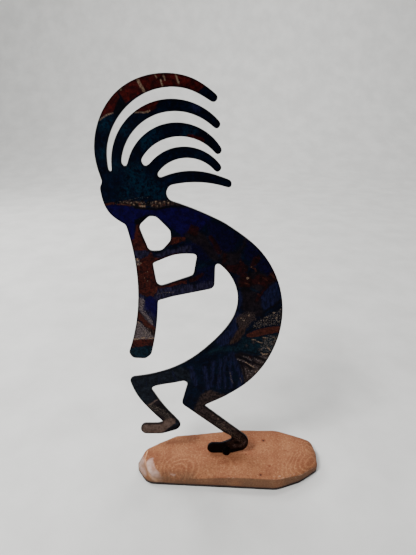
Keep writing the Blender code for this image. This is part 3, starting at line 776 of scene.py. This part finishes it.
patina["orange"] = [
    # the flute's slanting band, the hump's bar, and sparks everywhere
    [(-73.5, 156.5), (-70, 155.5), (-66.5, 149), (-63, 145), (-56, 140), (-57, 137), (-63, 141),
     (-66.5, 142.5), (-69, 147), (-74, 150.5)],
    [(11.5, 134.5), (13.5, 136), (19, 139), (24, 141), (29.5, 142), (42, 143.6), (42, 137.2),
     (32.5, 136.5), (28, 135.5), (22, 133.5), (16, 132.5), (13, 133)],
    ([(-56, 174.5), (-59.5, 168.8)], 1.0), ([(-82, 123), (-76, 124)], 0.5), (-70.5, 309.8, 1.1),
    ([(28, 186.5), (30, 184)], 0.8), ([(13, 192), (16, 190.5), (17, 188.5)], 0.5), (19.5, 179, 0.7),
    (19.5, 170, 0.8), (5.2, 196, 0.6), ([(22, 183), (25, 181)], 0.5), ([(9, 179), (12, 178)], 0.5),
    ([(-92, 237.2), (-86.4, 237.5), (-81.6, 238.1)], 0.75),
    ([(-79.2, 237.5), (-74, 237.1), (-70.6, 236.8)], 0.45), (-64.5, 237.8, 1.0), (-54.8, 237.3, 0.7),
    (-47.5, 237.1, 0.7), (-51.5, 238.9, 0.5), ([(-66, 207), (-60, 207.5)], 0.8),
]
patina["cream"] = [
    # streaks across the outer feather, its lower edge and the second feather's
    ([(-61.8, 316), (-59, 311), (-56, 305.5)], 0.8), ([(-51, 318), (-49, 315.3)], 0.4),
    ([(-46.8, 314), (-45.5, 310.5)], 0.5), ([(-45, 316.5), (-44, 314)], 0.45),
    ([(-38, 318), (-36, 312)], 0.6), ([(-88, 290.4), (-84, 292.4), (-81, 293.9), (-77.5, 295.1)], 0.35),
    (-71.5, 309, 0.7), ([(-64, 295.4), (-60.5, 295.4), (-57.5, 295.4), (-54.5, 296.4)], 0.35),
    (-69.8, 311.5, 0.4),
    # face band
    ([(-64, 236.2), (-61, 236.4)], 0.55), (-66.5, 238.9, 0.45), (-68.2, 237, 0.4), (-72.5, 239, 0.4),
    (-75.2, 238.9, 0.35), (-53, 239.3, 0.5), (-47.5, 239.3, 0.45), (-45, 238.6, 0.5), (-50.3, 238, 0.4),
    (-52.3, 236.3, 0.4), (-42, 239, 0.4), (-63, 238.8, 0.35), (-55.8, 236.6, 0.35), (-70.2, 238.6, 0.35),
    # flute
    (-68.7, 197.5, 0.9), (-68.5, 193.6, 0.6), (-66.3, 194.5, 0.4), (-62, 188, 0.4), (-64.5, 183.5, 0.35),
    (-62.3, 180.5, 0.35), ([(-79, 130.6), (-72, 131.4)], 0.5), ([(-69.5, 132), (-67.5, 132.3)], 0.6),
    ([(-64, 131.8), (-59, 131.8)], 0.5), ([(-73, 147), (-70.5, 145.5)], 0.4),
    # the star and the verdigris field
    (11, 183, 0.9), (13.6, 191.5, 0.4), ([(34, 131.5), (36, 131)], 0.35),
    ([(20.5, 129), (24.5, 127.5)], 0.4), ([(28.5, 123.5), (31.5, 121)], 0.45),
    ([(23.5, 118.5), (25.5, 117), (29.5, 117.5)], 0.45), ([(25, 132.5), (28.5, 131.5)], 0.35),
    ([(16, 130.8), (19, 130)], 0.3),
    # the fan, the stripe's head and the lace beside it
    ([(12, 109.6), (15.5, 107), (19, 104.8)], 0.35), ([(20, 100), (22, 101.5)], 0.25), (13, 152, 0.7),
    (7, 150, 0.5), (10, 148, 0.6), (27, 150.5, 0.5), (32, 154.5, 0.6), (34, 150, 0.6), (37, 157, 0.5),
]
patina["black"] = [
    # the crack across the outer feather
    ([(-74, 308.5), (-71.5, 304), (-69, 299.8)], 0.5),
    [(-73, 304.5), (-71, 301.5), (-69, 299.5), (-72, 295.5), (-77, 293.5), (-76.5, 296.5), (-74.5, 300)],
    # the band's gaps and the line under it
    ([(-67.5, 235.3), (-60, 234.4), (-54, 234.1), (-48.2, 235.2), (-43.5, 236.1), (-34, 236.3)], 0.65),
    (-58.5, 238, 1.7), (-79.9, 239.2, 0.9), (-76.2, 239.9, 0.6), (-69.3, 240.2, 0.8), (-66.6, 237.4, 0.6),
    (-62.6, 240, 0.8), (-61.9, 237.6, 0.6), (-54.5, 238.5, 0.6), (-51.3, 237, 0.6), (-49.2, 239, 0.6),
    (-46.2, 237.9, 0.6), (-44, 239.9, 0.5), (-73.6, 238.2, 0.5),
    [(-69, 227), (-66, 227.5), (-62, 229.5), (-58.5, 231), (-63, 226), (-65.5, 223.5), (-68, 223.8)],
    # around the star, along the fan and on the flute
    (12.5, 188, 1.1), (12, 185.8, 1.2), (15, 187.5, 0.9),
    ([(24.5, 154.5), (28.5, 158), (33, 161.5), (38, 166)], 0.9), ([(8, 175), (13, 172.5)], 1.0),
    ([(5.5, 115), (11.5, 112.8), (15.5, 109.5)], 1.0), ([(12.5, 107.5), (17, 103)], 0.9),
    ([(19.5, 115), (24.5, 112.8), (28, 110.8)], 0.8), ([(18, 109.5), (25, 106.5)], 0.7),
    ([(9, 108), (11, 102), (12, 96)], 0.7), ([(8, 117.3), (13.5, 116)], 0.6),
    ([(12.5, 137), (17, 140.5), (22, 143)], 0.8), ([(13, 120), (20, 117.5), (25, 120)], 0.5),
    (-67, 188.5, 0.5), (-65, 190, 0.5), (-62, 187.5, 0.4), (-66.5, 178.5, 0.4), (-69.5, 199.6, 0.7),
    (-67, 196, 0.5), ([(-71.5, 156.6), (-67.5, 152.5), (-64, 147)], 0.35),
    ([(-56, 199.5), (-53, 199.8)], 0.5),
    # both feet and the standing leg
    [(-56.5, 34.5), (-54.5, 38.6), (-49, 42.8), (-38, 49), (-36, 42), (-44, 38)],
    [(-16, 26), (-9, 27), (-2, 25.5), (-1.4, 21), (1.5, 18), (4, 13), (-16, 13), (-17, 20)],
    (6.5, 25, 0.9), ([(0, 27.5), (4, 29)], 0.8), ([(6.2, 24.8), (8.2, 25)], 1.4), (3.9, 35.3, 1.3),
    (2.1, 31.3, 0.9), (13.4, 29.6, 0.7), (3.6, 29.5, 1.0), ([(4, 16.4), (12.5, 16.8)], 1.4),
    (11.8, 31.4, 1.0), (13, 26, 0.8), ([(3, 32.5), (6.5, 33.6)], 0.9),
    ([(8, 15), (14, 17), (17.2, 21), (17.6, 27), (14, 32)], 0.6), ([(-22, 66), (-4, 52), (10, 39)], 0.6),
    ([(-26, 60), (-10, 48), (4, 37)], 0.4), ([(2, 33), (8, 31), (11, 27)], 0.6),
]
patina["flecked"] = [
    # where salts were spattered: the face band, the standing leg, the lace, the verdigris field
    # and small places
    ([(-79, 238.6), (-72, 239), (-62, 238), (-53, 238.2), (-43.5, 239), (-34, 238.6)], 1.6),
    ([(-72, 241.4), (-56, 241.8)], 1.0), ([(-10, 47), (4, 35), (11, 27)], 3.0), (-60, 232.5, 0.5),
    [(14, 142), (22, 149.5), (29, 155), (42, 160), (42, 144), (29.5, 141.8), (19.5, 139.5)],
    [(24, 131), (36, 136), (42, 136), (40, 120), (29, 117), (22, 122)],
    (-84, 287.5, 1.0), (-62, 187, 1.5), (-65, 180, 1), (9, 148, 2.5), (30, 112, 2),
    ([(-56, 170), (-44, 172)], 1.5), ([(-65, 65), (-52, 54)], 4), (-65, 136, 4),
]
patina["broken"] = [
    # where the patches break up: the star, the face band, the flute, the fan and the arms
    [(-12, 206), (14, 206), (36, 190), (44, 150), (44, 136), (12, 134), (-2, 150), (4, 175), (-10, 186)],
    ([(-89, 237.2), (-72, 239), (-34, 238.6)], 4), (-62, 186, 9),
    [(3, 118), (36, 120), (30, 98), (12, 86)],
    ([(-54, 172), (-20, 176)], 6), ([(-70, 165), (-62, 140)], 6), (-62, 202, 6),
]


def depth_in_marks(at, marks):
    """The deepest that each point lies in any of the marks, between -4 and 4 mm."""
    deepest = np.full(len(at), -4.0)
    for mark in marks:
        if isinstance(mark, list):
            depth = depth_in_outline(at, mark)
        elif isinstance(mark[0], list):
            depth = depth_in_stroke(at, mark[0], mark[1])
        else:
            depth = mark[2] - np.hypot(at[:, 0] - mark[0], at[:, 1] - mark[1])
        deepest = np.maximum(deepest, depth)
    return np.minimum(deepest, 4)


# Each kind of patch wanders at its edges by about 1 mm, the finest kinds by half of that, in
# swells of 5 and 1.6 mm
on_plate = at[:, [0, 2]]
for seed, (kind, marks) in enumerate(patina.items()):
    reach = 0.35 if kind in ("cream", "black", "orange", "pale") else 0.7
    moved = np.column_stack([
        reach * (swells(at, 5, seed + way) + 0.5 * swells(at, 1.6, seed + way + 1)) for way in (31, 51)
    ])
    keep_on_points(plate_mesh, kind, depth_in_marks(on_plate + moved, marks))
keep_on_points(plate_mesh, "front", (at[:, 1] < 0.6 * HALF_PLATE).astype(float))
keep_on_points(plate_mesh, "from edge", held(gap_to(on_plate, loops) / 1.6))

# Steel with a flame and dye patina under clear lacquer: the dyes sink in as clouds and hard-edged
# patches, so one plate shows blue-black, teal, violet, rust and cream. The lacquer makes it glossy.
steel, shader, place, patterns = new_material(
    "Flame and dye patina on lacquered steel",
    {"fine": (1.0, 4.0, 0.65), "small": (1.7, 4.0, 0.65), "middle": (3.0, 5.0, 0.65),
     "broad": (11.0, 3.0, 0.55), "spatter": (1.0, 2.0, 0.7), "specks": (0.8, 2.0, 0.7)},
    [*patina, "front", "from edge"],
)
brushed = add_node(steel, "VectorMath", "Vector", {0: place, 1: (1.0, 1.0, 0.3)}, operation="MULTIPLY")
strokes = {"Vector": brushed, "Scale": 1 / 1.3, "Detail": 4.0, "Roughness": 0.6}
patterns["strokes"] = add_node(steel, "TexNoise", "Fac", strokes)

# The fine noise moves a patch's edge, and moves it further where the patches are broken up
broken = {"Value": patterns["broken"], "From Min": -1.0, "From Max": 2.0, "To Min": 1.0, "To Max": 2.8}
broken = add_node(steel, "MapRange", "Result", broken)
ragged_edge = add_node(steel, "Math", "Value", {0: patterns["fine"], 1: 0.5}, operation="SUBTRACT")
ragged_edge = add_node(steel, "Math", "Value", {0: ragged_edge, 1: broken}, operation="MULTIPLY")
colour = laid_over(steel, "#01030f", "#010a19", patterns["broad"], 0.4, 0.62)
colour = laid_over(steel, colour, "#03132d", patterns["middle"], 0.5, 0.7, most=0.7)
LAYERS = [
    # kind, softness and raggedness of its edge in mm, its share, its darker and lighter colour,
    # and the noise that runs between them
    ("teal", 2.4, 2.6, 0.75, "#01030f", "#042538", "small"),
    ("verdigris", 1.4, 2.0, 0.85, "#030b12", "#0a212d", "small"),
    ("violet", 0.8, 1.2, 0.9, "#070022", "#0d013c", "middle"),
    ("indigo", 0.8, 1.2, 0.85, "#030112", "#09052b", "small"),
    ("dusk", 0.8, 1.4, 0.85, "#0c0a15", "#28243c", "strokes"),
    ("slate", 1.0, 1.0, 0.8, "#070a10", "#1a1f27", "middle"),
    ("twilight", 0.6, 1.0, 0.8, "#080a1b", "#191b3c", "strokes"),
    ("umber", 1.0, 1.2, 0.85, "#070508", "#1d1417", "middle"),
    ("scorched", 1.0, 1.2, 0.9, "#0e0b0b", "#3b2e2b", "small"),
    ("rosy", 0.8, 0.8, 0.95, "#43352f", "#64524a", "middle"),
    ("maroon", 0.4, 0.9, 0.9, "#0e0405", "#270b0b", "middle"),
    ("rust", 0.3, 0.6, 0.95, "#200606", "#460f0b", "middle"),
    ("russet", 0.4, 0.8, 0.92, "#1b0b0a", "#431a13", "small"),
    ("tan", 0.5, 0.9, 0.85, "#140e0c", "#3b2a25", "strokes"),
    ("mauve", 0.8, 1.4, 0.8, "#0c0a0b", "#403331", "fine"),
    ("pale", 0.6, 1.4, 0.85, "#2c2628", "#6c6060", "fine"),
    ("orange", 0.3, 0.5, 0.95, "#2a130e", "#452019", "small"),
    ("cream", 0.3, 0.5, 0.8, "#5c4636", "#907a66", "fine"),
    ("black", 0.3, 0.6, 0.9, "#030306", "#08080d", "fine"),
]
for kind, softness, ragged, most, darker, lighter, noise in LAYERS:
    own = laid_over(steel, darker, lighter, patterns[noise], 0.38, 0.64)
    depth = {0: ragged_edge, 1: 2 * ragged, 2: patterns[kind]}
    depth = add_node(steel, "Math", "Value", depth, operation="MULTIPLY_ADD")
    colour = laid_over(steel, colour, own, depth, -softness, softness, most=most)

# Flecks of bare metal salts where the acid was spattered, dark specks everywhere, and a darker rim
density = {"Value": patterns["flecked"], "From Min": -0.5, "From Max": 1.5, "To Max": 0.17}
density = add_node(steel, "MapRange", "Result", density)
flecks = add_node(steel, "Math", "Value", {0: patterns["spatter"], 1: density}, operation="ADD")
colour = laid_over(steel, colour, "#6b5f54", flecks, 0.68, 0.84)
colour = laid_over(steel, colour, "#040406", patterns["specks"], 0.46, 0.32, most=0.75)
colour = laid_over(steel, colour, "#040407", patterns["from edge"], 0.1, 1.0, 0.85, 0.0)

# The back was only heated: a plain blue-black with brown and teal clouds
plain = laid_over(steel, "#0a0d14", "#0e1f28", patterns["broad"], 0.42, 0.6)
plain = laid_over(steel, plain, "#2b1711", patterns["middle"], 0.5, 0.68, most=0.8)
plain = laid_over(steel, plain, "#191b33", patterns["fine"], 0.6, 0.72, most=0.5)
dull = {"Value": patterns["middle"], "From Min": 0.35, "From Max": 0.65, "To Min": 0.38, "To Max": 0.52}
waves = add_node(steel, "Math", "Value", {0: patterns["broad"], 1: patterns["middle"]}, operation="ADD")
bump = {"Height": waves, "Distance": 0.00008, "Strength": 0.5}
fill_sockets(shader, {
    "Base Color": laid_over(steel, plain, colour, patterns["front"], 0.0, 1.0), "Metallic": 0.95,
    "Roughness": add_node(steel, "MapRange", "Result", dull),
    "Specular IOR Level": 0.2, "Coat Weight": 0.03, "Coat Roughness": 0.12,
    "Normal": add_node(steel, "Bump", "Normal", bump),
})
finished_piece("patinated_flute_player", plate_mesh, steel, "flute_player")


# The setting: a sheet of pale paper that lies flat under the figure and curves up far behind it,
# under soft studio light, seen from a little above the head.

SWEEP_HALF_WIDTH, SWEEP_FRONT, CURVE_START, CURVE_RADIUS, SWEEP_TOP = 4.0, -3.0, 1.2, 0.8, 4.0
BELOW_SLAB = 0.0002
profile = [(SWEEP_FRONT, 0.0), (CURVE_START, 0.0)]
profile += [
    (CURVE_START + CURVE_RADIUS * math.sin(a), CURVE_RADIUS - CURVE_RADIUS * math.cos(a))
    for a in np.radians(range(4, 91, 4))
]
profile += [(CURVE_START + CURVE_RADIUS, SWEEP_TOP)]
sweep_points = [
    (x, y, z - BELOW_SLAB) for y, z in profile for x in (-SWEEP_HALF_WIDTH, SWEEP_HALF_WIDTH)
]
sweep_faces = [(2 * k, 2 * k + 1, 2 * k + 3, 2 * k + 2) for k in range(len(profile) - 1)]
sweep_mesh = bpy.data.meshes.new("studio_sweep")
sweep_mesh.from_pydata(sweep_points, [], sweep_faces)
sweep_mesh.shade_smooth()
sweep = bpy.data.objects.new("studio_sweep", sweep_mesh)
bpy.context.scene.collection.objects.link(sweep)

# Matt drawing paper: an even pale ground with no gloss and hardly any clouds
paper, shader, place, patterns = new_material("Pale studio paper", {"clouds": (60.0, 3.0, 0.55)})
colour = laid_over(paper, "#cfcecb", "#dad9d6", patterns["clouds"], 0.35, 0.65)
fill_sockets(shader, {"Base Color": colour, "Roughness": 0.7})
sweep_mesh.materials.append(paper)

world = bpy.data.worlds.new("Soft studio surround")
world.use_nodes = True
fill_sockets(world.node_tree.nodes["Background"], {"Color": linear("#dfe4e8"), "Strength": 0.3})
bpy.context.scene.world = world

LIGHTS = [
    # name, place, what it faces, size of the square lamp in metres, power in watts
    ("Key softbox", (-0.6, -0.48, 1.1), (0, 0, 0.05), 0.3, 18.5),
    ("Front softbox", (-0.6, -1.2, 0.4), (0, 0, 0.1), 0.8, 2),
    ("Rear softbox", (-0.75, 0.65, 0.8), (-0.2, 0.2, 0), 0.5, 9),
    ("Backdrop softbox", (0.3, 1.0, 2.2), (0, 2.0, 0.8), 1.0, 42),
]
for name, place, target, size, power in LIGHTS:
    lamp = bpy.data.lights.new(name, "AREA")
    lamp.size = size
    lamp.energy = power
    light = bpy.data.objects.new(name, lamp)
    light.location = place
    light.rotation_euler = (Vector(target) - Vector(place)).to_track_quat("-Z", "Y").to_euler()
    bpy.context.scene.collection.objects.link(light)

# The camera stands 280 mm in front of the plate and looks 23.5 degrees down. Its focal length is
# 417 pixels of a picture that is 555 pixels high.
CAMERA_PLACE, LOOKS_DOWN = (-0.018, -0.2801, 0.3048), 23.5
SENSOR, LENS_PIXELS, PICTURE_PIXELS = 36, 417, 555
camera = bpy.data.objects.new("Camera", bpy.data.cameras.new("Camera"))
camera.location = CAMERA_PLACE
camera.rotation_euler = (math.radians(90 - LOOKS_DOWN), 0, 0)
camera.data.sensor_width = SENSOR
camera.data.lens = SENSOR * LENS_PIXELS / PICTURE_PIXELS
camera.data.clip_start = 0.01
bpy.context.scene.collection.objects.link(camera)
bpy.context.scene.camera = camera
